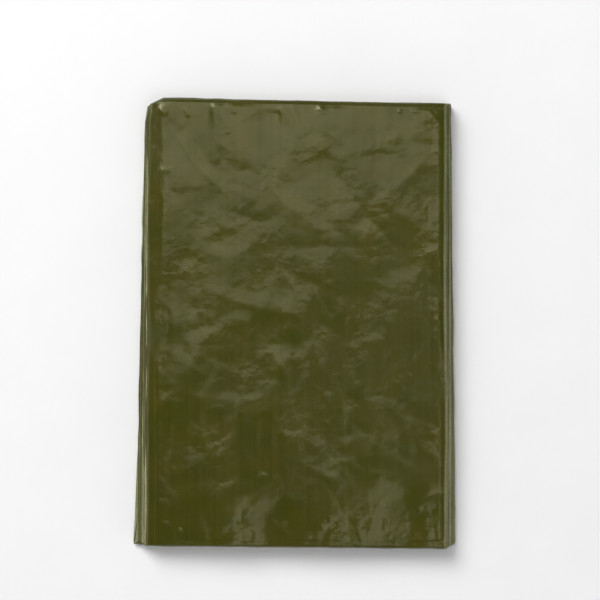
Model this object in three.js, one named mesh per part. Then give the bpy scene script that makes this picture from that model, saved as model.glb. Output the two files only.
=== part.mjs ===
// A folded emergency sleeping bag: one long bag of thin olive plastic film, laid flat, folded
// lengthwise into a narrow strip, and the strip folded back and forth into a packet.
// The packet lies on its back: the fold edges are at its far (+Y) and near (-Y) ends.
// Millimetres, +Z up, origin on the floor under the middle of the packet.
import * as THREE from "three";

// The strip and its layers, at the middle of the packet
const STRIP_THICKNESS = 1.35;
const LAYER_GAP = 0.3;
const HALF_WIDTH = 84;
const HALF_LENGTH = 117.5;

// The side edges are the strip's own lengthwise folds: rounded, and not quite straight
const RIM_BULGE = 0.5;
const EDGE_WANDER = 0.45;
const WANDER_LENGTH = 21;
const WANDER_SHIFT = 2.1;

// The share of its height that the pressed stack loses towards its sides and its ends
const SIDE_DROP = 0.08;
const END_DROP = 0.07;
const DROP_POWER = 6;

// How finely the strip is divided, and how much closer the rows and columns lie at its edges
const COLUMNS = 12;
const ROWS = 11;
const BEND_STEPS = 6;
const CROWDING = 0.45;

// One row for each layer, from the floor up: the places of its side edges across the packet,
// at the far end and at the near end. The layers fan out downwards and towards the near end.
const LAYERS = [
  { farLeft: -77.4, nearLeft: -82.2, farRight: 79.8, nearRight: 82.2 },
  { farLeft: -78.8, nearLeft: -84.0, farRight: 80.8, nearRight: 83.9 },
  { farLeft: -77.9, nearLeft: -82.9, farRight: 81.4, nearRight: 83.0 },
  { farLeft: -78.4, nearLeft: -82.2, farRight: 80.1, nearRight: 82.2 },
  { farLeft: -77.3, nearLeft: -80.9, farRight: 80.6, nearRight: 81.3 },
  { farLeft: -77.7, nearLeft: -79.9, farRight: 79.3, nearRight: 80.6 },
  { farLeft: -76.6, nearLeft: -78.6, farRight: 79.7, nearRight: 79.8 },
  { farLeft: -77.0, nearLeft: -77.6, farRight: 78.2, nearRight: 79.2 },
  { farLeft: -75.9, nearLeft: -76.2, farRight: 78.0, nearRight: 78.4 },
];

// One row for each end of a layer, from the floor up: how far from the packet's middle it
// reaches, at its left and its right. They are near and far by turns. The first and the last
// are the strip's free ends, and each of the others is the fold between two layers.
const ENDS = [
  { left: 113.6, right: 114.4 },
  { left: 115.8, right: 113.4 },
  { left: 115.0, right: 116.0 },
  { left: 117.0, right: 114.3 },
  { left: 116.0, right: 116.6 },
  { left: 117.5, right: 113.8 },
  { left: 115.4, right: 117.2 },
  { left: 116.8, right: 113.9 },
  { left: 116.2, right: 117.6 },
  { left: 115.1, right: 111.9 },
];

// Broad rises and hollows in the stack, most of them pleats that start at its near or far end:
// place, half-width across and along the packet, and height at the top face
const SWELLS = [
  { x: -60, y: -104, across: 15, along: 22, rise: -1.0 },
  { x: -36, y: -106, across: 9, along: 26, rise: 0.9 },
  { x: -8, y: -108, across: 12, along: 24, rise: -0.8 },
  { x: 22, y: -100, across: 14, along: 30, rise: 0.6 },
  { x: 58, y: -106, across: 11, along: 20, rise: -0.8 },
  { x: 77, y: -96, across: 8, along: 26, rise: 0.5 },
  { x: -14, y: 108, across: 10, along: 18, rise: -0.7 },
  { x: 40, y: 100, across: 22, along: 24, rise: 0.5 },
  { x: -62, y: 96, across: 20, along: 20, rise: -0.6 },
  { x: 16, y: 34, across: 44, along: 52, rise: 0.6 },
  { x: -34, y: -28, across: 34, along: 48, rise: 0.5 },
  { x: 52, y: -30, across: 26, along: 40, rise: -0.5 },
];

// The dog-eared corner, far left: what lies past this line is crushed back towards it.
// Lower layers are crushed a little less.
const EAR_START = new THREE.Vector2(-68.9, 117.5);
const EAR_END = new THREE.Vector2(-79.4, 109.6);
const EAR_KEPT = 0.1;
const EAR_SPREAD = 1.6;

const OLIVE = 0x585a2c;

const { lerp } = THREE.MathUtils;
const layerPitch = STRIP_THICKNESS + LAYER_GAP;
const stackHeight = LAYERS.length * layerPitch - LAYER_GAP;
const bendRadius = layerPitch / 2;
const foldReach = bendRadius + STRIP_THICKNESS / 2;

// A layer's left and right edges, at a place y along the packet
function sideEdges(layer, y) {
  const row = LAYERS[layer];
  const share = (y + HALF_LENGTH) / (2 * HALF_LENGTH);
  const wander = EDGE_WANDER * Math.sin(y / WANDER_LENGTH + WANDER_SHIFT * layer);
  return {
    left: lerp(row.nearLeft, row.farLeft, share) + wander,
    right: lerp(row.nearRight, row.farRight, share) + wander,
  };
}

// How far from the middle the flat part of a layer goes at one end, a share of the way across
function flatReach(end, across) {
  const isFree = end === 0 || end === LAYERS.length;
  return lerp(ENDS[end].left, ENDS[end].right, across) - (isFree ? 0 : foldReach);
}

// Turns an even share of a length into one that crowds towards both its ends
function crowd(share) {
  return share - (CROWDING * Math.sin(2 * Math.PI * share)) / (2 * Math.PI);
}

// The stations along the strip, from its free end on the floor to the one on top. heading is
// 1 where the strip runs to the far end and -1 where it comes back. turn is how far round
// the fold after this layer the station lies.
function stations() {
  const list = [];
  for (let layer = 0; layer < LAYERS.length; layer += 1) {
    const heading = layer % 2 === 0 ? 1 : -1;
    for (let row = 0; row <= ROWS; row += 1) {
      list.push({ layer, heading, along: crowd(row / ROWS), turn: 0 });
    }
    if (layer === LAYERS.length - 1) continue;
    for (let step = 1; step < BEND_STEPS; step += 1) {
      list.push({ layer, heading, along: 1, turn: (Math.PI * step) / BEND_STEPS });
    }
  }
  return list;
}

// A point of the evenly stacked strip: a share of the way across, a distance past the side
// edge there, and a distance off the strip's middle surface
function stackedPoint({ layer, heading, along, turn }, across, pastEdge, offMiddle) {
  const start = -heading * flatReach(layer, across);
  const finish = heading * flatReach(layer + 1, across);
  const layerMiddle = layer * layerPitch + STRIP_THICKNESS / 2;
  const y = lerp(start, finish, along) + heading * bendRadius * Math.sin(turn);
  const z = layerMiddle + bendRadius * (1 - Math.cos(turn));
  const below = sideEdges(layer, y);
  const above = sideEdges(Math.min(layer + 1, LAYERS.length - 1), y);
  const climbed = turn / Math.PI;
  const left = lerp(below.left, above.left, climbed);
  const right = lerp(below.right, above.right, climbed);
  return new THREE.Vector3(
    lerp(left, right, across) + pastEdge,
    y - offMiddle * Math.sin(turn),
    z + offMiddle * heading * Math.cos(turn),
  );
}

// The height of the pressed stack's top face over a place on the floor
function topHeight(x, y) {
  const sideDrop = SIDE_DROP * Math.abs(x / HALF_WIDTH) ** DROP_POWER;
  const endDrop = END_DROP * Math.abs(y / HALF_LENGTH) ** DROP_POWER;
  const swelling = SWELLS.reduce((sum, swell) => {
    const distance = Math.hypot((x - swell.x) / swell.across, (y - swell.y) / swell.along);
    return sum + swell.rise * Math.exp(-(distance ** 2));
  }, 0);
  return stackHeight * (1 - sideDrop - endDrop) + swelling;
}

// Presses a point of the even stack down and crushes the dog-eared corner
function settle(point) {
  const level = point.z / stackHeight;
  const earLine = EAR_END.clone().sub(EAR_START).normalize();
  const outward = new THREE.Vector2(earLine.y, -earLine.x);
  const place = new THREE.Vector2(point.x, point.y);
  const past = place.clone().sub(EAR_START).dot(outward) - EAR_SPREAD * (1 - level);
  if (past > 0) place.addScaledVector(outward, -past * (1 - EAR_KEPT));
  return new THREE.Vector3(place.x, place.y, level * topHeight(place.x, place.y));
}

// The closed ring of points round the strip at one station: its upper face from left to
// right, the right rim, its lower face from right to left, and the left rim
function ring(station) {
  const half = STRIP_THICKNESS / 2;
  const face = (side) =>
    Array.from({ length: COLUMNS + 1 }, (_, column) =>
      stackedPoint(station, crowd(column / COLUMNS), 0, side * half),
    );
  const points = [
    ...face(1),
    stackedPoint(station, 1, RIM_BULGE, 0),
    ...face(-1).reverse(),
    stackedPoint(station, 0, -RIM_BULGE, 0),
  ];
  return points.map(settle);
}

// Triangles that close a ring, which is two rows of points and a rim point at each side
function capTriangles(first) {
  const upper = (column) => first + column;
  const lower = (column) => first + 2 * COLUMNS + 2 - column;
  const rightRim = first + COLUMNS + 1;
  const leftRim = first + 2 * COLUMNS + 3;
  const triangles = [
    [upper(COLUMNS), rightRim, lower(COLUMNS)],
    [lower(0), leftRim, upper(0)],
  ];
  for (let column = 0; column < COLUMNS; column += 1) {
    triangles.push(
      [upper(column), upper(column + 1), lower(column + 1)],
      [upper(column), lower(column + 1), lower(column)],
    );
  }
  return triangles;
}

// The folded strip as one closed surface: rings joined in order, with a cap at each free end
function foldedStrip() {
  const rings = stations().map(ring);
  const size = rings[0].length;
  const triangles = [];
  for (let station = 0; station < rings.length - 1; station += 1) {
    for (let place = 0; place < size; place += 1) {
      const here = station * size + place;
      const beside = station * size + ((place + 1) % size);
      triangles.push([here, beside + size, here + size], [here, beside, beside + size]);
    }
  }
  const startCap = capTriangles(0).map((corners) => corners.reverse());
  const endCap = capTriangles((rings.length - 1) * size);
  triangles.push(...startCap, ...endCap);
  const geometry = new THREE.BufferGeometry().setFromPoints(rings.flat());
  geometry.setIndex(triangles.flat());
  geometry.computeVertexNormals();
  return geometry;
}

// Moves the packet sideways so that the origin is under the middle of its outline
function centreOnFloor(geometry) {
  geometry.computeBoundingBox();
  const middle = geometry.boundingBox.getCenter(new THREE.Vector3());
  return geometry.translate(-middle.x, -middle.y, -geometry.boundingBox.min.z);
}

const film = new THREE.MeshStandardMaterial({ color: OLIVE, roughness: 0.42, metalness: 0 });
const foldedFilm = new THREE.Mesh(centreOnFloor(foldedStrip()), film);
foldedFilm.name = "folded_film";

const packet = new THREE.Group();
packet.add(foldedFilm);

export default packet;
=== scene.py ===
import itertools
import math

import bmesh
import bpy
import numpy as np
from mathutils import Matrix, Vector
from mathutils.geometry import delaunay_2d_cdt


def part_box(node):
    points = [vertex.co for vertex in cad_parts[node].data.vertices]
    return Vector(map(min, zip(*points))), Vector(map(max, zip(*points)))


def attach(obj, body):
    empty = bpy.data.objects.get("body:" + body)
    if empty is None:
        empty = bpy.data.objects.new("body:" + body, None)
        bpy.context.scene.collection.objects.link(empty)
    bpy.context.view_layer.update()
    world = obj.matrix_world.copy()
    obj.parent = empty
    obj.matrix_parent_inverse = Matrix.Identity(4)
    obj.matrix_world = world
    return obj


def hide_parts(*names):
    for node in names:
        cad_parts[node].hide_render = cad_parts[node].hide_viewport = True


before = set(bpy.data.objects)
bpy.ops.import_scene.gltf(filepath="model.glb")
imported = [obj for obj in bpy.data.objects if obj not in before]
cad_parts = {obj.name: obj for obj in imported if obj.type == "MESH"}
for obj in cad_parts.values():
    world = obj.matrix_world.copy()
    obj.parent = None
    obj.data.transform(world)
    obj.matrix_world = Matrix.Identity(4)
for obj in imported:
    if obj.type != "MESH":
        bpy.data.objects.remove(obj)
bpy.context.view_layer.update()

# The folded film
# One long bag of thin olive polyethylene film, its two sheets pressed together. It is folded
# lengthwise into a strip six panels thick, and the strip is folded back and forth into a packet
# of nine layers, which is pressed flat by hand. Nothing is sewn or fixed to it.

MM = 0.001

# The fold, in millimetres
PANELS = 6
LAYERS = 9
FILM_THICKNESS = 0.12
PANEL_SPACING = 0.246
LAYER_SPACING = 1.65
STRIP_WIDTH = 160.0
FLAT_WIDTH, FLAT_LENGTH = 970.0, 2120.0
strip_thickness = (PANELS - 1) * PANEL_SPACING + FILM_THICKNESS
panel_length = STRIP_WIDTH + 0.55 * PANEL_SPACING
stack_height = (LAYERS - 1) * LAYER_SPACING + strip_thickness
low_corner, high_corner = (np.array(corner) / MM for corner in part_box("folded_film"))
half_width, half_length = ((high_corner - low_corner) / 2)[:2]
packet_middle = ((low_corner + high_corner) / 2)[:2]

# How finely the film is divided: points across a panel, along a layer and round half a fold,
# and how much closer they lie towards the edges
PANEL_POINTS = 13
LAYER_POINTS = 15
FOLD_POINTS = 2
CROWDING = 0.35

# How finely what shows is divided again: the side folds along the packet, the end folds across
# it, the top both ways, and the top's rim past these places
SIDE_SPACING, END_SPACING, TOP_SPACING, RIM_SPACING = 5.0, 3.0, 1.3, 0.65
RIM_NEAR, RIM_FAR, RIM_SIDE = -96.0, 106.0, 71.0
# Heights and places closer than this are taken as the same
TOLERANCE = 0.01


def place(tree, kind, inputs=None, **settings):
    """Adds a node to a tree, sets its options, and fills its inputs with values or links."""
    node = tree.nodes.new(kind)
    for name, value in settings.items():
        setattr(node, name, value)
    for key, value in (inputs or {}).items():
        if isinstance(value, bpy.types.NodeSocket):
            tree.links.new(value, node.inputs[key])
        else:
            node.inputs[key].default_value = value
    return node


def result_of(tree, operation, *values):
    """A math node's result."""
    node = place(tree, "ShaderNodeMath", dict(enumerate(values)), operation=operation)
    return node.outputs[0]


def take_inputs(tree, **kinds):
    """Gives a tree its named inputs, and returns them."""
    for name, kind in kinds.items():
        tree.interface.new_socket(
            name=name.replace("_", " "), in_out="INPUT", socket_type="NodeSocket" + kind
        )
    return tree.nodes.new("NodeGroupInput").outputs


def give_geometry(tree, socket):
    """Makes this socket's geometry what the tree gives."""
    tree.interface.new_socket(
        name="Geometry", in_out="OUTPUT", socket_type="NodeSocketGeometry"
    )
    place(tree, "NodeGroupOutput", {"Geometry": socket})


def back_and_forth_tree():
    """A sheet folded back and forth, seen edge on: runs of one length, a spacing apart, with
    half-round folds at their ends."""
    tree = bpy.data.node_groups.new("Back and forth", "GeometryNodeTree")
    given = take_inputs(
        tree, Runs="Int", Reach="Float", Spacing="Float", Points="Int", Fold_Points="Int"
    )
    points = given["Points"]
    row = place(
        tree,
        "GeometryNodeMeshLine",
        {"Count": result_of(tree, "MULTIPLY", given["Runs"], points), "Offset": (0, 0, 0)},
    )
    line = place(tree, "GeometryNodeMeshToCurve", {"Mesh": row.outputs[0]})
    index = place(tree, "GeometryNodeInputIndex").outputs[0]
    middle = result_of(tree, "ADD", index, 0.5)
    run = result_of(tree, "FLOOR", result_of(tree, "DIVIDE", middle, points))
    step = result_of(tree, "SUBTRACT", index, result_of(tree, "MULTIPLY", run, points))
    share = result_of(tree, "DIVIDE", step, result_of(tree, "SUBTRACT", points, 1))
    wave = result_of(tree, "SINE", result_of(tree, "MULTIPLY", share, math.tau))
    crowded = result_of(tree, "MULTIPLY_ADD", wave, -CROWDING / math.tau, share)
    turned = result_of(tree, "FLOORED_MODULO", run, 2.0)
    heading = result_of(tree, "MULTIPLY_ADD", turned, -2.0, 1.0)
    along = result_of(tree, "MULTIPLY_ADD", crowded, 2.0, -1.0)
    reach = result_of(tree, "MULTIPLY", heading, given["Reach"])
    spot = place(
        tree,
        "ShaderNodeCombineXYZ",
        {
            "X": result_of(tree, "MULTIPLY", along, reach),
            "Y": result_of(tree, "MULTIPLY", run, given["Spacing"]),
        },
    )
    laid = place(
        tree,
        "GeometryNodeSetPosition",
        {"Geometry": line.outputs[0], "Position": spot.outputs[0]},
    )
    off_end = result_of(tree, "ABSOLUTE", result_of(tree, "SUBTRACT", share, 0.5))
    at_end = result_of(tree, "GREATER_THAN", off_end, 0.499)
    size = result_of(tree, "ABSOLUTE", result_of(tree, "MULTIPLY", given["Spacing"], 0.495))
    rounded = place(
        tree,
        "GeometryNodeFilletCurve",
        {
            "Curve": laid.outputs[0],
            "Count": given["Fold Points"],
            "Radius": result_of(tree, "MULTIPLY", at_end, size),
        },
        mode="POLY",
    )
    give_geometry(tree, rounded.outputs[0])
    return tree


def folded_sheet_tree():
    """The strip's folded section, swept along the strip's own back-and-forth path, and given
    the film's thickness. It keeps each point's place on the flat bag as across and along."""
    tree = bpy.data.node_groups.new("Folded sheet", "GeometryNodeTree")
    given = take_inputs(
        tree,
        Panels="Int",
        Panel_Reach="Float",
        Panel_Spacing="Float",
        Layers="Int",
        Layer_Reach="Float",
        Layer_Spacing="Float",
        Film_Thickness="Float",
        Film="Material",
    )
    back_and_forth = back_and_forth_tree()
    flat_place = place(tree, "GeometryNodeSplineParameter").outputs["Length"]

    def line(kind, points, turn, name):
        """One of the two lines, turned into place and centred on its runs. It keeps each
        point's length along it under a name."""
        runs, spacing = given[kind + "s"], given[kind + " Spacing"]
        made = place(tree, "GeometryNodeGroup", node_tree=back_and_forth)
        inputs = {
            "Runs": runs,
            "Reach": given[kind + " Reach"],
            "Spacing": spacing,
        }
        for key, value in inputs.items():
            tree.links.new(value, made.inputs[key])
        made.inputs["Points"].default_value = points
        made.inputs["Fold Points"].default_value = FOLD_POINTS
        depth = result_of(tree, "MULTIPLY", result_of(tree, "SUBTRACT", runs, 1), spacing)
        shift = place(
            tree, "ShaderNodeCombineXYZ", {"Y": result_of(tree, "MULTIPLY", depth, -0.5)}
        )
        centred = place(
            tree,
            "GeometryNodeTransform",
            {"Geometry": made.outputs[0], "Translation": shift.outputs[0]},
        )
        turned = place(
            tree, "GeometryNodeTransform", {"Geometry": centred.outputs[0], "Rotation": turn}
        )
        kept = place(
            tree,
            "GeometryNodeStoreNamedAttribute",
            {"Geometry": turned.outputs[0], "Name": name, "Value": flat_place},
            data_type="FLOAT",
            domain="POINT",
        )
        return kept.outputs[0]

    quarter = math.pi / 2
    section = line("Panel", PANEL_POINTS, (math.pi, 0, 0), "across")
    path = line("Layer", LAYER_POINTS, (quarter, 0, quarter), "along")
    sweep = place(tree, "GeometryNodeCurveToMesh", {"Curve": path, "Profile Curve": section})
    normal = place(tree, "GeometryNodeInputNormal").outputs[0]
    half_film = result_of(tree, "MULTIPLY", given["Film Thickness"], -0.5)
    back = place(tree, "ShaderNodeVectorMath", {0: normal, "Scale": half_film}, operation="SCALE")
    sheet = place(
        tree,
        "GeometryNodeSetPosition",
        {"Geometry": sweep.outputs[0], "Offset": back.outputs[0]},
    ).outputs[0]
    outer = place(
        tree,
        "GeometryNodeExtrudeMesh",
        {"Mesh": sheet, "Offset Scale": given["Film Thickness"], "Individual": False},
        mode="FACES",
    )
    inner = place(tree, "GeometryNodeFlipFaces", {"Mesh": sheet})
    both = tree.nodes.new("GeometryNodeJoinGeometry")
    tree.links.new(outer.outputs["Mesh"], both.inputs[0])
    tree.links.new(inner.outputs[0], both.inputs[0])
    closed = place(
        tree,
        "GeometryNodeMergeByDistance",
        {"Geometry": both.outputs[0], "Distance": 1e-6},
    )
    real = place(tree, "GeometryNodeRealizeInstances", {"Geometry": closed.outputs[0]})
    made = place(
        tree,
        "GeometryNodeSetMaterial",
        {"Geometry": real.outputs[0], "Material": given["Film"]},
    )
    give_geometry(tree, made.outputs[0])
    return tree


def evenly_folded(material):
    """The film, evenly folded and not yet pressed, as a plain mesh in metres."""
    tree = folded_sheet_tree()
    holder = bpy.data.objects.new("fold", bpy.data.meshes.new("fold"))
    bpy.context.scene.collection.objects.link(holder)
    modifier = holder.modifiers.new("fold", "NODES")
    modifier.node_group = tree
    sizes = {
        "Panels": PANELS,
        "Panel Reach": STRIP_WIDTH / 2 * MM,
        "Panel Spacing": PANEL_SPACING * MM,
        "Layers": LAYERS,
        "Layer Reach": (half_length - strip_thickness / 2) * MM,
        "Layer Spacing": LAYER_SPACING * MM,
        "Film Thickness": FILM_THICKNESS * MM,
        "Film": material,
    }
    for item in tree.interface.items_tree:
        if item.in_out == "INPUT":
            modifier[item.identifier] = sizes[item.name]
    shown = holder.evaluated_get(bpy.context.evaluated_depsgraph_get())
    mesh = bpy.data.meshes.new_from_object(shown)
    bpy.data.objects.remove(holder)
    mesh.materials.clear()
    mesh.materials.append(material)
    mesh.polygons.foreach_set("material_index", [0] * len(mesh.polygons))
    return mesh


# The pressed packet, in millimetres. Both tables run from the floor up.
# The places of each layer's side edges, at the far and the near end
layer_edges = {
    "far left": [-77.4, -78.8, -77.9, -78.4, -77.3, -77.7, -76.6, -77.0, -75.9],
    "near left": [-82.2, -84.0, -82.9, -82.2, -81.1, -80.4, -79.4, -78.4, -77.2],
    "far right": [79.8, 80.8, 81.4, 80.1, 80.6, 79.3, 79.7, 78.2, 78.0],
    "near right": [82.2, 83.9, 83.0, 82.2, 81.3, 80.6, 79.8, 79.2, 78.4],
}
# How far the far and the near folds reach, and at which layer each of them lies
fold_reach = {
    "far layer": [0.5, 2.5, 4.5, 6.5, 8],
    "far left": [115.8, 117.0, 117.5, 116.8, 116.3],
    "far right": [113.4, 114.3, 113.8, 113.9, 113.0],
    "near layer": [0, 1.5, 3.5, 5.5, 7.5],
    "near left": [113.6, 115.0, 116.0, 115.4, 116.2],
    "near right": [114.4, 116.0, 116.6, 117.2, 117.6],
}
# How pale each layer's side folds are, from the floor up: partly the film whitened along the
# fold and partly a painted highlight for glare and reflections on the fold rims
fold_whitening_and_glare = {
    "left": [0.4, 0.9, 0.6, 0.1, 0.1, 0.8, 1.0, 1.0, 0.05],
    "right": [0.5, 0.8, 0.5, 0.3, 0.8, 0.9, 0.3, 0.7, 0.5],
}
# The lowest layers reach out a little further at the near left corner
CORNER_REACH = 1.1
# The top panel's long edge lies open at the left, this far in from the folds below it
OPEN_EDGE_INSET = 3.5
# The share of its height that the pressed stack loses towards its sides and its ends
SIDE_DROP, END_DROP, DROP_POWER = 0.08, 0.07, 6
# The dog-eared corner, far left: what lies past this line is crushed back towards it
EAR_START, EAR_END = np.array((-68.9, 117.5)), np.array((-79.4, 109.6))
EAR_KEPT, EAR_SPREAD = 0.1, 1.6
# How far each panel's edges stray, and the seeds for it
PANEL_WANDER = 0.55
EDGE_SEEDS = {"left": 4, "right": 5}
# How loosely the layers lie: waves up the stack, and how strong each of them is
LOOSENESS = {1: 0.10, 2: 0.12, 4: 0.14, 9: 0.26}
# How far the side folds are ruffled and the end folds puff out
RUFFLE, PUFF = 0.35, 0.3
# The top panel's relief: its lift over the stack, its crumpling, its lowest and highest heights,
# and how far in from its edges it fades out
TOP_LIFT, CRUMPLING = 0.3, 0.45
SOFT_START, HIGHEST_RISE, RELIEF_FADE = 0.1, 1.3, 4.0
# How much the film is dulled and paled along its main creases and along the fine ones
MAIN_WEAR, FINE_WEAR = 0.7, 2.2
# Broad rises and hollows: place, half-width across and along, height at the top face
swells = [
    (-68, -106, 15, 22, -0.9),
    (-38, -106, 10, 26, 0.8),
    (-12, -108, 10, 24, -0.8),
    (20, -100, 14, 30, 0.6),
    (56, -106, 10, 20, -0.8),
    (70, -98, 8, 26, 0.5),
    (-14, 108, 10, 18, -0.6),
    (40, 100, 22, 24, 0.5),
    (-62, 96, 20, 20, -0.6),
    (16, 34, 44, 52, 0.5),
    (-34, -28, 34, 48, 0.4),
    (52, -30, 26, 40, -0.5),
]
# Where the facets of the creased top panel meet: place, and height over an even pressing
facet_corners = [
    # along the near end, from the left
    (-82, -123, 0.1),
    (-77, -98, -0.1),
    (-60, -123, -0.1),
    (-58, -97, 0.0),
    (-44, -101, 0.2),
    (-38.4, -113.9, 0.35),
    (-40, -124, 0.3),
    (-27.5, -106, 0.3),
    (-23, -96, 0.1),
    (-16.5, -124, -0.5),
    (-16.4, -104, -0.35),
    (-12.3, -99, -0.1),
    (-3.2, -110.2, 0.0),
    (2, -124, 0.1),
    (4, -101, 0.35),
    (15, -124, 0.2),
    (17, -107, 0.3),
    (27, -113, 0.1),
    (30, -98, 0.15),
    (43, -124, 0.15),
    (47, -104, 0.0),
    (54.5, -119, -0.35),
    (56, -124, -0.35),
    (62.5, -109, -0.35),
    (61.5, -120, 0.25),
    (69, -100.5, -0.25),
    (67.5, -112, 0.35),
    (74, -104, 0.3),
    (68, -124, 0.1),
    (76, -93, 0.0),
    (82, -110, -0.3),
    (80, -124, -0.35),
    # across the middle, from near to far
    (-72, -70, -0.2),
    (-52, -80, 0.35),
    (-30, -70, -0.3),
    (-4, -82, 0.35),
    (20, -72, -0.35),
    (44, -82, 0.3),
    (66, -66, -0.25),
    (-80, -44, 0.1),
    (-60, -38, 0.4),
    (-36, -46, -0.1),
    (-14, -38, 0.35),
    (8, -44, -0.3),
    (34, -36, 0.4),
    (58, -42, 0.0),
    (80, -36, 0.1),
    (-70, -8, -0.35),
    (-44, -2, 0.3),
    (-20, -12, -0.35),
    (4, 2, 0.45),
    (28, -8, -0.25),
    (52, 4, 0.35),
    (72, -10, -0.2),
    (-78, 30, 0.2),
    (-56, 34, -0.3),
    (-30, 40, 0.3),
    (-6, 36, -0.2),
    (22, 42, 0.4),
    (48, 34, -0.35),
    (74, 42, 0.25),
    (-66, 66, 0.4),
    (-40, 74, -0.3),
    (-14, 68, 0.3),
    (12, 78, -0.25),
    (38, 70, 0.35),
    (62, 78, -0.3),
    (80, 72, 0.1),
    # along the far end, from the left
    (-78, 98, 0.1),
    (-69, 109, 0.35),
    (-56, 100, -0.15),
    (-38, 120, 0.15),
    (-34, 104, 0.2),
    (-16, 112, 0.0),
    (-12.6, 105.5, -0.45),
    (-9.4, 112, 0.05),
    (2, 99, 0.3),
    (6, 120, -0.15),
    (24, 106, 0.2),
    (40, 120, -0.1),
    (44, 101, -0.2),
    (58, 108.5, 0.3),
    (72, 120, -0.1),
    (76, 101, 0.25),
]
# The main creases, each from one point to another: width, height and bow sideways
main_creases = [
    (-40, -122, -25, -103, 1.8, 0.35, 0.5),
    (-16.5, -124, -17.5, -96, 1.5, -0.35, 0),
    (-13, -101, -2, -111, 1.8, 0.3, 0.6),
    (75.4, -122, 75.2, -88, 1.7, 0.55, 0.3),
    (-3, 121, 3, 99, 1.8, 0.3, 0.5),
    (75.0, -96, 74.2, -30, 1.1, 0.22, 0.5),
    (74.6, 14, 73.6, 108, 1.2, 0.24, 0.8),
    (70.2, -60, 69.4, 84, 1.8, -0.16, -0.6),
    (-71.2, -110, -70.2, 60, 1.5, -0.16, 0.6),
    (-27.5, -84, -26.6, 62, 2.0, 0.12, 1.2),
    (28.4, -124, 26.8, 30, 2.2, -0.12, -1.4),
    (-62, -39.5, 34, -38.5, 2.0, 0.13, 1.2),
    (-30, 38.5, 86, 36.8, 2.2, -0.12, -1.5),
    (-66, 104, -30, 62, 2.4, 0.32, 2.5),
    (76, 96, 34, 58, 2.6, 0.34, -3.0),
    (-72, -82, -26, -52, 2.8, 0.36, 3.0),
    (70, -78, 22, -46, 2.4, -0.32, -2.0),
    (-50, 20, 8, 4, 2.6, 0.26, 3.5),
    (12, 92, 60, 30, 3.0, -0.30, 3.0),
    (-8, -66, 40, -88, 2.4, 0.34, 2.0),
    (-62, 44, -44, -16, 3.0, -0.26, -3.0),
]

# Small dents and peaks along the ends, in the same form
small_creases = [
    (-71, -114.8, -37, -114.4, 0.7, 0.35, 0),
    (-39, -114.4, -10, -114.9, 0.7, 0.3, 0),
    (46.9, -101.5, 46.7, -110, 0.8, 0.5, 0),
    (48.2, -112.5, 49.8, -109.4, 0.7, 0.4, 0),
    (54.6, -112.5, 57, -109.2, 0.9, 0.55, 0),
    (51.6, -111.6, 53.8, -110, 0.8, -0.4, 0),
    (12.4, -107, 16.4, -104.6, 0.8, 0.45, 0),
    (16, -101.6, 22, -101, 0.8, 0.3, 0),
    (16.4, -106.4, 22, -103.6, 1.1, -0.4, 0.3),
    (24, -109.6, 28.6, -106.8, 0.9, -0.4, 0),
    (26.4, -107.6, 31, -105.4, 0.8, -0.35, 0),
    (35, -100, 41.5, -99.6, 0.8, 0.25, 0),
    (-23.6, -107.2, -22.4, -113.4, 0.9, -0.5, 0.2),
    (-27.8, -109, -33.4, -113.6, 0.8, 0.3, 0),
    (-61.2, -109.2, -59.2, -107, 0.7, 0.4, 0),
    (-47, -113, -44.6, -106.6, 0.9, 0.25, 0),
    (-70.5, -103, -64, -105.4, 0.9, 0.22, 0.3),
    (-8, -106.4, -3.6, -103.2, 0.8, 0.25, 0),
    (4.6, -114.8, 8.6, -108.4, 0.9, 0.3, 0),
    (-10.6, 110, -9.4, 103, 1.3, -0.6, 0),
    (53, 110.4, 55.2, 109.2, 0.7, 0.3, 0),
    (59, 110, 66, 110.2, 0.8, 0.2, 0),
    (62.8, -97.8, 65.6, -95.2, 0.8, 0.4, 0),
    (66.5, -107, 70.6, -109.4, 1.2, 0.25, 0),
    (-35, 108.6, -30, 106.8, 1.2, -0.2, 0),
    (-72, 112, -66.5, 108.4, 0.9, 0.4, 0.3),
    (12, 113, 15.4, 107.6, 0.8, 0.3, 0),
    (-58, 112.4, -55.4, 106.4, 0.9, 0.25, 0),
    (68.6, 112, 73.4, 104.4, 0.9, 0.35, 0.3),
]


def smooth(share):
    """A share from 0 to 1 that starts and ends gently."""
    share = np.clip(share, 0, 1)
    return share * share * (3 - 2 * share)


def mix(start, end, share):
    return start + (end - start) * share


def drift(seed, *spots):
    """Smooth random values from -1 to 1, over coordinates in units of the drift's size."""
    values = np.random.default_rng(seed).uniform(-1, 1, (24,) * len(spots))
    low = [np.floor(spot).astype(int) for spot in spots]
    shares = [smooth(spot - corner) for spot, corner in zip(spots, low)]
    total = 0
    for corner in itertools.product((0, 1), repeat=len(spots)):
        weight = 1
        for on_far_side, share in zip(corner, shares):
            weight = weight * (share if on_far_side else 1 - share)
        cell = tuple((start + step) % 24 for start, step in zip(low, corner))
        total = total + weight * values[cell]
    return total


def scattered(seed, count, middles, angles, lengths, widths, heights):
    """Random creases: each range is a pair of limits, and middles has one for x and for y.
    Half of them are ridges and half of them troughs."""
    random = np.random.default_rng(seed)
    rows = []
    for _ in range(count):
        x, y = (random.uniform(*limits) for limits in middles)
        angle = math.radians(random.uniform(*angles))
        reach = random.uniform(*lengths) / 2
        step = reach * math.cos(angle), reach * math.sin(angle)
        height = random.uniform(*heights) * random.choice((-1, 1))
        bow = random.uniform(-0.12, 0.12) * reach
        width = random.uniform(*widths)
        rows.append((x - step[0], y - step[1], x + step[0], y + step[1], width, height, bow))
    return rows


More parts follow.
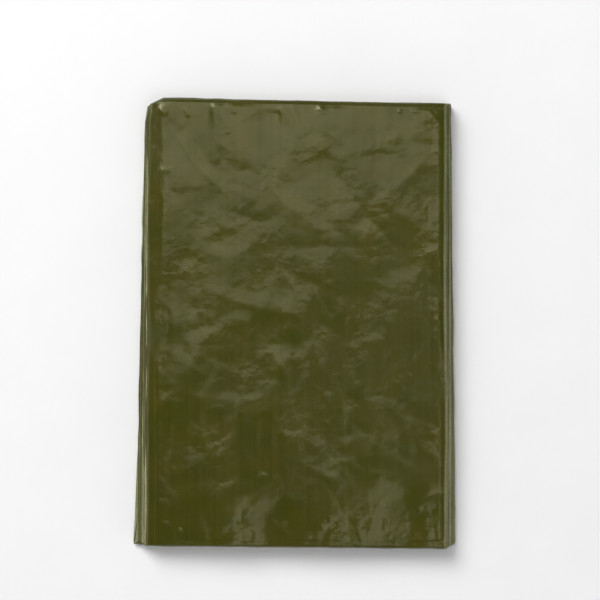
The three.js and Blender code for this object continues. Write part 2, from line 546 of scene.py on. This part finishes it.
# Puckers along the four edges of the top, and crumples all over it
puckers = [
    *scattered(3, 13, ((-74, 76), (-121, -108)), (70, 110), (16, 44), (1.2, 2.6), (0.15, 0.45)),
    *scattered(4, 10, ((-60, 76), (106, 118)), (66, 114), (12, 34), (1.2, 2.4), (0.10, 0.32)),
    *scattered(5, 15, ((70, 80), (-104, 104)), (-26, 26), (8, 22), (1.0, 2.2), (0.10, 0.30)),
    *scattered(6, 13, ((-78, -68), (-104, 98)), (-26, 26), (8, 20), (1.0, 2.2), (0.10, 0.28)),
]
crumples = [
    *scattered(7, 150, ((-76, 78), (-116, 114)), (0, 180), (9, 34), (0.9, 2.6), (0.04, 0.16)),
    *scattered(8, 240, ((-76, 78), (-116, 114)), (0, 180), (4, 13), (0.6, 1.3), (0.03, 0.10)),
]


# How blunt a crease's crest is, the share of its length over which each end fades, and how far
# the wear beside it reaches
CREST, CREASE_FADE, WEAR_REACH = 0.35, 0.32, 0.7


def creased(rows, x, y):
    """The height of these creases at each point, and how sharply the film is creased there."""
    height, wear = np.zeros_like(x), np.zeros_like(x)
    for x0, y0, x1, y1, width, rise, bow in rows:
        length = math.hypot(x1 - x0, y1 - y0)
        ux, uy = (x1 - x0) / length, (y1 - y0) / length
        along = ((x - x0) * ux + (y - y0) * uy) / length
        near = (along > 0) & (along < 1)
        along = along[near]
        off = (y[near] - y0) * ux - (x[near] - x0) * uy
        off = np.hypot(off + bow * (1 - (2 * along - 1) ** 2), CREST) - CREST
        fade = smooth(np.minimum(along, 1 - along) / CREASE_FADE)
        height[near] += rise * fade * np.exp(-off / width)
        wear[near] += abs(rise) * fade * np.exp(-off / WEAR_REACH)
    return height, wear


def crumpled(seed, size, x, y):
    """A crumpled surface of flat facets with sharp creases between them. The difference
    between the squared distances to the nearest of two sets of points is such a surface."""
    random = np.random.default_rng(seed)
    count = round(4 * half_width * half_length / size**2)
    heights = []
    for _ in range(2):
        nearest = np.full_like(x, np.inf)
        for sx, sy in random.uniform(-1, 1, (count, 2)) * (half_width, half_length):
            nearest = np.minimum(nearest, (x - sx) ** 2 + (y - sy) ** 2)
        heights.append(nearest / size**2)
    return heights[0] - heights[1]


def faceted(x, y):
    """The height of the flat facets between the facet corners."""
    corners = np.array(facet_corners)
    outline = [(-120, -160, 0), (120, -160, 0), (120, 160, 0), (-120, 160, 0)]
    corners = np.vstack([corners, outline])
    flat = [Vector(corner[:2]) for corner in corners]
    triangles = delaunay_2d_cdt(flat, [], [], 0, 0.01)[2]
    height = np.zeros_like(x)
    for one, two, three in triangles:
        (ax, ay, ah), (bx, by, bh), (cx, cy, ch) = corners[[one, two, three]]
        size = (bx - ax) * (cy - ay) - (cx - ax) * (by - ay)
        second = ((x - ax) * (cy - ay) - (cx - ax) * (y - ay)) / size
        third = ((bx - ax) * (y - ay) - (x - ax) * (by - ay)) / size
        inside = (second >= 0) & (third >= 0) & (second + third <= 1)
        height[inside] = (ah + (bh - ah) * second + (ch - ah) * third)[inside]
    return height


def stack_top(x, y):
    """The height of the pressed stack over a place on the floor."""
    top = stack_height * (
        1
        - SIDE_DROP * np.abs(x / half_width) ** DROP_POWER
        - END_DROP * np.abs(y / half_length) ** DROP_POWER
    )
    for sx, sy, across, along, rise in swells:
        top += rise * np.exp(-(((x - sx) / across) ** 2) - ((y - sy) / along) ** 2)
    return top


def pressed(x, y, z):
    """Points of the evenly folded film, moved to where they lie in the pressed packet."""
    layer = (z - strip_thickness / 2) / LAYER_SPACING
    level = z / stack_height
    sideways = x / STRIP_WIDTH + 0.5
    lengthways = y / half_length

    def edge(side):
        """A side edge's place, which strays a little from panel to panel."""
        near, far = (
            np.interp(layer, range(LAYERS), layer_edges[f"{end} {side}"])
            for end in ("near", "far")
        )
        stray = drift(EDGE_SEEDS[side], y / 48, z / PANEL_SPACING / 1.7)
        return mix(near, far, (lengthways + 1) / 2) + PANEL_WANDER * stray

    def reach(end):
        """How far a fold at this end goes, for each point's place across."""
        left, right = (
            np.interp(layer, fold_reach[f"{end} layer"], fold_reach[f"{end} {side}"])
            for side in ("left", "right")
        )
        return mix(left, right, sideways)

    x = mix(edge("left"), edge("right"), sideways)
    open_panel = z > stack_height - 1.5 * FILM_THICKNESS
    inset = OPEN_EDGE_INSET + 0.7 * drift(11, y / 42)
    x = x + np.where(open_panel, inset * (1 - sideways) ** 3, 0)
    y = lengthways * np.where(y > 0, reach("far"), reach("near"))
    corner = CORNER_REACH * smooth((-y - 100) / 12) * smooth((-x - 60) / 20) * smooth(2.4 - layer)
    x, y = x - corner, y - corner

    line = (EAR_END - EAR_START) / np.linalg.norm(EAR_END - EAR_START)
    past = (x - EAR_START[0]) * line[1] - (y - EAR_START[1]) * line[0] - EAR_SPREAD * (1 - level)
    crushed = (1 - EAR_KEPT) * np.maximum(past, 0)
    x, y = x - crushed * line[1], y + crushed * line[0]

    share = level
    for waves, loose in LOOSENESS.items():
        turn = math.tau * waves
        loose = loose * drift(30 + waves, x / 38 / waves**0.2, y / 44 / waves**0.2)
        share = share + loose * np.sin(turn * level) / turn
    return x, y, share * stack_top(x, y)


def film_relief(x, y):
    """How far the top panel stands above an even pressing, and how sharply it is creased."""
    bent = x + 1.1 * drift(21, x / 14, y / 15), y + 1.1 * drift(22, x / 14, y / 15)
    calm = smooth(0.7 + 0.9 * drift(23, x / 30, y / 26))
    calm *= 1 - 0.8 * np.exp(-(((x + 60) / 16) ** 2) - ((y + 108) / 14) ** 2)
    calm += (1 - calm) * smooth((x - 8) / 14) * smooth((-86 - y) / 14)
    rise = faceted(*bent)
    rise += CRUMPLING * (0.3 + 0.7 * calm) * crumpled(9, 24, *bent)
    rise += 0.4 * CRUMPLING * calm * crumpled(10, 9, *bent)
    main, main_wear = creased(main_creases + small_creases + puckers, x, y)
    fine, fine_wear = creased(crumples, x, y)
    wear = MAIN_WEAR * main_wear + FINE_WEAR * calm * fine_wear
    return rise + main + calm * fine, wear


def on_top(x, y, z):
    """Which places in the even fold are on the top panel's upper skin."""
    return z > stack_height - TOLERANCE


def on_top_rim(x, y, z):
    return on_top(x, y, z) & ((y < RIM_NEAR) | (y > RIM_FAR) | (np.abs(x) > RIM_SIDE))


def on_side_folds(x, y, z):
    return np.abs(x) > STRIP_WIDTH / 2 - PANEL_SPACING / 2 + TOLERANCE


def round_the_ends(x, y, z):
    """How far round its bend a place on the outside of an end fold is, from 0 to 1. Other
    places have 0."""
    bend = LAYER_SPACING / 2
    height = (z - strip_thickness / 2) / LAYER_SPACING
    fold = np.where(y > 0, 2 * np.floor(height / 2) + 0.5, 2 * np.floor((height + 1) / 2) - 0.5)
    past = np.abs(y) - (half_length - strip_thickness / 2 - bend)
    radius = bend + strip_thickness / 2
    outside = np.hypot(past, (height - fold) * LAYER_SPACING) > radius - 0.4 * FILM_THICKNESS
    return np.where(outside, np.clip(past / radius, 0, 1), 0)


def refine(shape, chosen, spacing, lengthwise):
    """Cuts the edges that run along the packet, or else those that run across it, on the chosen
    faces. chosen takes the faces' middles in the even fold, and says which are meant."""
    even = shape.verts.layers.float_vector["even"]
    along = shape.verts.layers.float["along"]
    middles = np.array([np.mean([v[even] for v in f.verts], axis=0) for f in shape.faces])
    shape.faces.ensure_lookup_table()
    cuts = {}
    for index in np.flatnonzero(chosen(*middles.T)):
        for edge in shape.faces[index].edges:
            start, end = edge.verts
            runs_along = abs(start[along] - end[along]) > 0.1 * MM
            if runs_along == lengthwise:
                count = round((start[even] - end[even]).length / spacing) - 1
                cuts.setdefault(count, {})[edge] = True
    for count, edges in cuts.items():
        if count > 0:
            bmesh.ops.subdivide_edges(shape, edges=list(edges), cuts=count, use_grid_fill=True)


def crumple_group():
    """Fine creases between flat facets of about the given size: from the squared distances to
    the nearest of two sets of points. The height is in the vector's unit."""
    tree = bpy.data.node_groups.new("Fine crumple", "ShaderNodeTree")
    given = take_inputs(tree, Vector="Vector", Size="Float", Slope="Float")
    shrunk = place(
        tree,
        "ShaderNodeVectorMath",
        {0: given["Vector"], "Scale": result_of(tree, "DIVIDE", 1, given["Size"])},
        operation="SCALE",
    ).outputs[0]
    squares = []
    for shift in (0, 41.7):
        moved = place(tree, "ShaderNodeVectorMath", {0: shrunk, 1: (shift, shift, shift)})
        cells = place(
            tree, "ShaderNodeTexVoronoi", {"Vector": moved.outputs[0], "Scale": 1}
        ).outputs["Distance"]
        squares.append(result_of(tree, "MULTIPLY", cells, cells))
    height = result_of(tree, "SUBTRACT", *squares)
    scaled = result_of(tree, "MULTIPLY", given["Size"], given["Slope"])
    tree.interface.new_socket(name="Height", in_out="OUTPUT", socket_type="NodeSocketFloat")
    place(tree, "NodeGroupOutput", {"Height": result_of(tree, "MULTIPLY", height, scaled)})
    return tree


# The film's own colours, from one hue to the other, darker in places and lighter in its
# streaks, and those it takes where it is creased and where it is folded. The pale fold colour
# is partly the film whitened along its folds and partly a painted highlight for glare on the fold
# rims
OLIVE, BROWN_OLIVE = (0.038, 0.041, 0.0020), (0.052, 0.046, 0.0034)
DEEP_OLIVE, STREAK_OLIVE = (0.026, 0.029, 0.0010), (0.092, 0.088, 0.016)
WORN_FILM, PALE_FOLD_AND_GLARE = (0.17, 0.162, 0.066), (0.44, 0.445, 0.25)
# The sizes of its streaks, across and along the flat bag, and of its clouds, hues and specks
STREAK_WIDTH, STREAK_LENGTH = 2.6, 170
CLOUD_SIZE, HUE_SIZE, SPECK_SIZE, ROUGH_PATCH_SIZE = 24, 17, 1.4, 19


def film_material():
    """Semi-gloss olive film: cloudy in tone, streaked the way it was drawn out, paler and
    duller where it is creased and along its folds, and finely crumpled. The pale band along the
    folds is partly whitening and partly a painted highlight for glare on the fold rims."""
    material = bpy.data.materials.new("olive film")
    material.use_nodes = True
    tree = material.node_tree
    shader = tree.nodes["Principled BSDF"]

    def kept(name):
        return place(tree, "ShaderNodeAttribute", attribute_name=name).outputs["Fac"]

    def noise(vector, detail=2.0, roughness=0.5):
        return place(
            tree,
            "ShaderNodeTexNoise",
            {"Vector": vector, "Scale": 1, "Detail": detail, "Roughness": roughness},
        ).outputs["Fac"]

    def ranged(value, *limits):
        return place(
            tree,
            "ShaderNodeMapRange",
            dict(enumerate([value, *limits])),
        ).outputs["Result"]

    def mixed(share, one, two):
        """Two colours mixed, each of them a value or a link."""
        node = place(tree, "ShaderNodeMix", {0: share}, data_type="RGBA")
        for socket, colour in zip((node.inputs[6], node.inputs[7]), (one, two)):
            if isinstance(colour, bpy.types.NodeSocket):
                tree.links.new(colour, socket)
            else:
                socket.default_value = (*colour, 1)
        return node.outputs[2]

    spot = place(tree, "ShaderNodeTexCoord").outputs["Object"]

    def sized(size):
        """The place in units of a size in millimetres."""
        node = place(
            tree, "ShaderNodeVectorMath", {0: spot, "Scale": 1 / (size * MM)}, operation="SCALE"
        )
        return node.outputs[0]

    flat_spot = place(
        tree,
        "ShaderNodeCombineXYZ",
        {
            "X": result_of(tree, "MULTIPLY", kept("across"), 1 / (STREAK_WIDTH * MM)),
            "Y": result_of(tree, "MULTIPLY", kept("along"), 1 / (STREAK_LENGTH * MM)),
        },
    ).outputs[0]
    streak = noise(flat_spot, 3.0, 0.6)
    cloud = noise(sized(CLOUD_SIZE), 2.0)
    hue = noise(sized(HUE_SIZE), 1.0)
    speckle = noise(sized(SPECK_SIZE), 3.0, 0.65)
    wear = kept("wear")

    olive = mixed(ranged(hue, 0.36, 0.64, 0, 1), OLIVE, BROWN_OLIVE)
    deep = mixed(ranged(cloud, 0.35, 0.7, 0, 0.5), olive, DEEP_OLIVE)
    streaked = mixed(ranged(streak, 0.3, 0.75, 0, 0.2), deep, STREAK_OLIVE)
    worn = mixed(
        result_of(tree, "MULTIPLY", wear, ranged(speckle, 0.35, 0.7, 0.1, 0.6)),
        streaked,
        WORN_FILM,
    )
    panel = result_of(tree, "DIVIDE", kept("across"), panel_length * MM)
    off_fold = result_of(tree, "MULTIPLY", result_of(tree, "PINGPONG", panel, 0.5), panel_length)
    off_middle = result_of(tree, "ABSOLUTE", result_of(tree, "SUBTRACT", panel, PANELS / 2))
    folded = ranged(off_middle, PANELS / 2 - 0.3, PANELS / 2 - 0.2, 1, 0.12)
    # The pale band along the folds: partly whitening, partly a painted highlight for glare on the
    # fold rims
    paleness_and_glare = result_of(tree, "MULTIPLY", ranged(off_fold, 0.3, 1.2, 1, 0), kept("paleness_and_glare"))
    paleness_and_glare = result_of(tree, "MULTIPLY", paleness_and_glare, folded)
    edged_and_glared = mixed(
        result_of(tree, "MULTIPLY", paleness_and_glare, ranged(speckle, 0.3, 0.7, 0.5, 0.95)),
        worn,
        PALE_FOLD_AND_GLARE,
    )
    tree.links.new(edged_and_glared, shader.inputs["Base Color"])

    gloss = ranged(cloud, 0.3, 0.7, 0.17, 0.25)
    dull = result_of(tree, "MULTIPLY_ADD", wear, 0.15, gloss)
    tree.links.new(dull, shader.inputs["Roughness"])
    shader.inputs["Specular IOR Level"].default_value = 0.42
    shader.inputs["Specular Tint"].default_value = (1, 0.95, 0.64, 1)
    shader.inputs["Coat Weight"].default_value = 0.06
    shader.inputs["Coat Roughness"].default_value = 0.11

    crumple = crumple_group()

    def crumpling(size, slope):
        group = place(tree, "ShaderNodeGroup", node_tree=crumple)
        tree.links.new(sized(1), group.inputs["Vector"])
        group.inputs["Size"].default_value = size
        group.inputs["Slope"].default_value = slope
        return group.outputs[0]

    rough_patch = ranged(noise(sized(ROUGH_PATCH_SIZE), 2.0), 0.42, 0.62, 0.25, 1)
    coarse = result_of(tree, "ADD", crumpling(6.5, 0.019), crumpling(3.1, 0.013))
    fine = result_of(tree, "MULTIPLY", crumpling(1.5, 0.010), rough_patch)
    height = result_of(tree, "MULTIPLY_ADD", coarse, rough_patch, fine)
    bump = place(tree, "ShaderNodeBump", {"Height": height, "Distance": MM, "Strength": 1})
    for name in ("Normal", "Coat Normal"):
        tree.links.new(bump.outputs[0], shader.inputs[name])
    return material


def coordinates(mesh, name=None):
    """A mesh's points in millimetres, or a vector kept at each of them, as three rows."""
    values = np.empty(len(mesh.vertices) * 3)
    if name:
        mesh.attributes[name].data.foreach_get("vector", values)
    else:
        mesh.vertices.foreach_get("co", values)
        values /= MM
    return values.reshape(-1, 3).T.copy()


def lengths(mesh, name):
    """A length that is kept at each point, in millimetres."""
    values = np.empty(len(mesh.vertices))
    mesh.attributes[name].data.foreach_get("value", values)
    return values / MM


def move_points(mesh, *places):
    mesh.vertices.foreach_set("co", np.stack(places, 1).ravel() * MM)


# Where each part of the film lies on its flat map: left, low, right and high, as shares of it
map_boxes = {
    "top": (0.01, 0.01, 0.67, 0.99),
    "underside": (0.69, 0.61, 0.99, 0.99),
    "hidden": (0.69, 0.51, 0.99, 0.60),
    "end folds": (0.69, 0.33, 0.99, 0.50),
    "side folds": (0.69, 0.01, 0.99, 0.32),
}
# The width of film that the map gives to each side fold and to each end fold
SIDE_FOLD_FILM, END_FOLD_FILM = 0.5, 4.4


def flat_map(mesh, even, across, along):
    """Lays the film out flat, each part in its own box: the top and the underside as they
    are seen, the end folds and the side folds as strips, and all that is hidden small."""
    corners, starts, counts = (
        np.empty(len(rows), int) for rows in (mesh.loops, mesh.polygons, mesh.polygons)
    )
    mesh.loops.foreach_get("vertex_index", corners)
    mesh.polygons.foreach_get("loop_start", starts)
    mesh.polygons.foreach_get("loop_total", counts)
    face = np.repeat(np.arange(len(counts)), counts)

    def middle(values):
        return (np.add.reduceat(values[corners], starts) / counts)[face]

    runs = along / along.max() * LAYERS
    folds = across / panel_length
    x, y, z = (middle(values) for values in even)
    run, bend, fold = np.floor(middle(runs)), np.rint(middle(runs)), np.rint(middle(folds))
    rim = even[2][corners] - z
    x_seen, y_seen = ((values / np.ptp(values))[corners] for values in coordinates(mesh)[:2])
    across, along, runs, folds = (values[corners] for values in (across, along, runs, folds))
    outward = np.empty(len(starts) * 3)
    mesh.polygons.foreach_get("normal", outward)
    outward = outward[::3][face] * np.sign(x)
    side_fold = on_side_folds(x, y, z) & (outward > 0.2)
    in_fold = (across - fold * panel_length) / SIDE_FOLD_FILM
    in_fold += np.where(fold % PANELS == 0, rim, 0)
    strip = run * (PANELS + 1) + fold + 0.5 + in_fold
    in_bend = (along - bend * along.max() / LAYERS) / END_FOLD_FILM
    sideways = even[0][corners] / STRIP_WIDTH + 0.5
    # Each part after the first takes its own faces out of those before it
    parts = {
        "hidden": (z < np.inf, runs / LAYERS + rim / FLAT_LENGTH, folds / PANELS),
        "side folds": (side_fold, runs - run, strip / (LAYERS * (PANELS + 1))),
        "end folds": (
            round_the_ends(x, y, z) > 0,
            sideways,
            (bend - 0.5 + in_bend) / (LAYERS - 1),
        ),
        "underside": (z < TOLERANCE, x_seen + 0.5, y_seen + 0.5),
        "top": (on_top(x, y, z), x_seen + 0.5, y_seen + 0.5),
    }
    places = np.zeros((len(corners), 2))
    for name, (chosen, u, v) in parts.items():
        left, low, right, high = map_boxes[name]
        box = np.stack([mix(left, right, u), mix(low, high, v)], 1)
        places[chosen] = box[chosen]
    mesh.uv_layers.new(name="OFBake").data.foreach_set("uv", np.clip(places, 0, 1).ravel())


# The coarse film is pressed first, and what shows of it is divided afterwards, so that no
# panel cuts through another
mesh = evenly_folded(film_material())
even = coordinates(mesh)
even[2] -= even[2].min()
mesh.attributes.new("even", "FLOAT_VECTOR", "POINT").data.foreach_set("vector", even.T.ravel())
move_points(mesh, *pressed(*even))

shape = bmesh.new()
shape.from_mesh(mesh)
refine(shape, on_side_folds, SIDE_SPACING, lengthwise=True)
refine(shape, round_the_ends, END_SPACING, lengthwise=False)
for chosen, spacing in ((on_top, TOP_SPACING), (on_top_rim, RIM_SPACING)):
    for lengthwise in (False, True):
        refine(shape, chosen, spacing, lengthwise)
many_sided = [face for face in shape.faces if len(face.verts) > 4]
bmesh.ops.triangulate(shape, faces=many_sided)
shape.to_mesh(mesh)
shape.free()

# Then the folds are ruffled, and the relief is added to the top panel's upper skin alone
even = coordinates(mesh, "even")
x, y, z = coordinates(mesh)
at_side = smooth((np.abs(even[0]) - STRIP_WIDTH / 2 + 2) / 2)
x += at_side * RUFFLE * drift(12, even[1] / 9, even[2] / PANEL_SPACING / 1.5, even[0] / 100 + 5)
bend = round_the_ends(*even)
puff = 1 + drift(13, even[0] / 7, even[2] / LAYER_SPACING, even[1] / 200 + 5)
y += np.sign(y) * bend * PUFF * puff
last_bend = stack_height - LAYER_SPACING - strip_thickness
top_skin = on_top(*even) | ((bend > 0) & (even[2] > last_bend))
fade = smooth((even[2] - stack_height + LAYER_SPACING) / LAYER_SPACING)
fade *= smooth((STRIP_WIDTH / 2 - np.abs(even[0])) / RELIEF_FADE)
fade *= smooth((half_length - even[1]) / RELIEF_FADE)
fade = np.where(top_skin, fade, 0)
rise, wear = film_relief(x, y)
off = np.where(top_skin, stack_top(x, y) - z, 0)
off *= smooth((even[2] - stack_height + TOP_LIFT) / TOP_LIFT)
rise = HIGHEST_RISE * np.tanh((rise + off + TOP_LIFT) / HIGHEST_RISE)
# It only ever lifts the film, with a soft start
z += fade * (rise + np.sqrt(rise**2 + SOFT_START**2)) / 2
middle = [(row.max() + row.min()) / 2 for row in (x, y)]
x += packet_middle[0] - middle[0]
y += packet_middle[1] - middle[1]
move_points(mesh, x, y, z)
wear = np.clip(wear * fade, 0, 1)
mesh.attributes.new("wear", "FLOAT", "POINT").data.foreach_set("value", wear)
layer = (even[2] - strip_thickness / 2) / LAYER_SPACING
# Paleness of each fold: partly whitening, partly a painted highlight for glare on the fold rims
paleness_and_glare = [np.interp(layer, range(LAYERS), fold_whitening_and_glare[side]) for side in ("left", "right")]
paleness_and_glare = np.where(x < 0, *paleness_and_glare) * (0.8 + 0.3 * drift(14, y / 30, layer / 1.3))
mesh.attributes.new("paleness_and_glare", "FLOAT", "POINT").data.foreach_set("value", paleness_and_glare)
mesh.shade_smooth()
mesh.update()
flat_map(mesh, even, lengths(mesh, "across"), lengths(mesh, "along"))
film = bpy.data.objects.new("folded_film_sheet", mesh)
bpy.context.scene.collection.objects.link(film)

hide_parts("folded_film")
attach(film, "root")

# The stage
# A plain pale floor with soft studio light from large lamps, and the camera straight above.

FLOOR = 1.6
floor_mesh = bpy.data.meshes.new("floor")
floor_mesh.from_pydata(
    [(-FLOOR, -FLOOR, 0), (FLOOR, -FLOOR, 0), (FLOOR, FLOOR, 0), (-FLOOR, FLOOR, 0)],
    [],
    [(0, 1, 2, 3)],
)
floor = bpy.data.objects.new("floor", floor_mesh)
bpy.context.scene.collection.objects.link(floor)
floor_paint = bpy.data.materials.new("pale floor")
floor_paint.use_nodes = True
floor_tree = floor_paint.node_tree
floor_shader = floor_tree.nodes["Principled BSDF"]
floor_spot = place(floor_tree, "ShaderNodeTexCoord").outputs["Object"]
mottle = place(
    floor_tree,
    "ShaderNodeTexNoise",
    {"Vector": floor_spot, "Scale": 25, "Detail": 5, "Roughness": 0.6},
).outputs["Fac"]
shade = place(
    floor_tree,
    "ShaderNodeMapRange",
    {"Value": mottle, "From Min": 0.3, "From Max": 0.7, "To Min": 0.86, "To Max": 0.88},
).outputs["Result"]
tone = place(floor_tree, "ShaderNodeCombineColor", {"Red": shade, "Green": shade, "Blue": shade})
floor_tree.links.new(tone.outputs["Color"], floor_shader.inputs["Base Color"])
dullness = result_of(floor_tree, "MULTIPLY_ADD", mottle, 0.2, 0.7)
floor_tree.links.new(dullness, floor_shader.inputs["Roughness"])
floor_mesh.materials.append(floor_paint)

world = bpy.data.worlds.new("studio")
bpy.context.scene.world = world
world.use_nodes = True
sky = world.node_tree
way = sky.nodes.new("ShaderNodeTexCoord").outputs["Generated"]
way = place(sky, "ShaderNodeSeparateXYZ", {"Vector": way}).outputs


def eased(value, start, end, first, last):
    """Goes gently from first to last while a value goes from start to end."""
    node = place(
        sky,
        "ShaderNodeMapRange",
        {"Value": value, "From Min": start, "From Max": end, "To Min": first, "To Max": last},
        interpolation_type="SMOOTHSTEP",
    )
    return node.outputs["Result"]


# Bright near the horizon and dark overhead, and dimmer beyond the far end
upwards, beyond = eased(way["Z"], 0.1, 0.9, 1.05, 0.08), eased(way["Y"], -0.2, 0.8, 1, 0.25)
background = sky.nodes["Background"]
background.inputs["Color"].default_value = (0.98, 0.98, 1, 1)
sky.links.new(result_of(sky, "MULTIPLY", upwards, beyond), background.inputs["Strength"])


def lamp(name, towards, lean, distance, size, power):
    """A square soft box that faces the packet: its bearing from +X and its lean from upright,
    in degrees, its distance and size in metres and its power in watts."""
    bearing, lean = math.radians(towards), math.radians(lean)
    data = bpy.data.lights.new(name, "AREA")
    data.size = size
    data.energy = power
    made = bpy.data.objects.new(name, data)
    reach = distance * math.sin(lean)
    made.location = reach * math.cos(bearing), reach * math.sin(bearing), distance * math.cos(lean)
    made.rotation_euler = (-made.location).to_track_quat("-Z", "Y").to_euler()
    bpy.context.scene.collection.objects.link(made)


lamp("key", 128, 44, 2.6, 1.4, 58)
lamp("fill", -48, 26, 2.6, 1.3, 9)
lamp("back", 98, 16, 2.6, 1.25, 10)

PHOTO_WIDTH = 312.0
CAMERA_HEIGHT = 1500.0
PHOTO_MIDDLE = (2.9, 12.0)
camera_data = bpy.data.cameras.new("camera")
camera_data.lens = camera_data.sensor_width * (CAMERA_HEIGHT - stack_height) / PHOTO_WIDTH
camera_data.clip_end = 20
camera = bpy.data.objects.new("camera", camera_data)
camera.location = [value * MM for value in (*PHOTO_MIDDLE, CAMERA_HEIGHT)]
bpy.context.scene.collection.objects.link(camera)
bpy.context.scene.camera = camera
bpy.context.scene.view_settings.view_transform = "Standard"
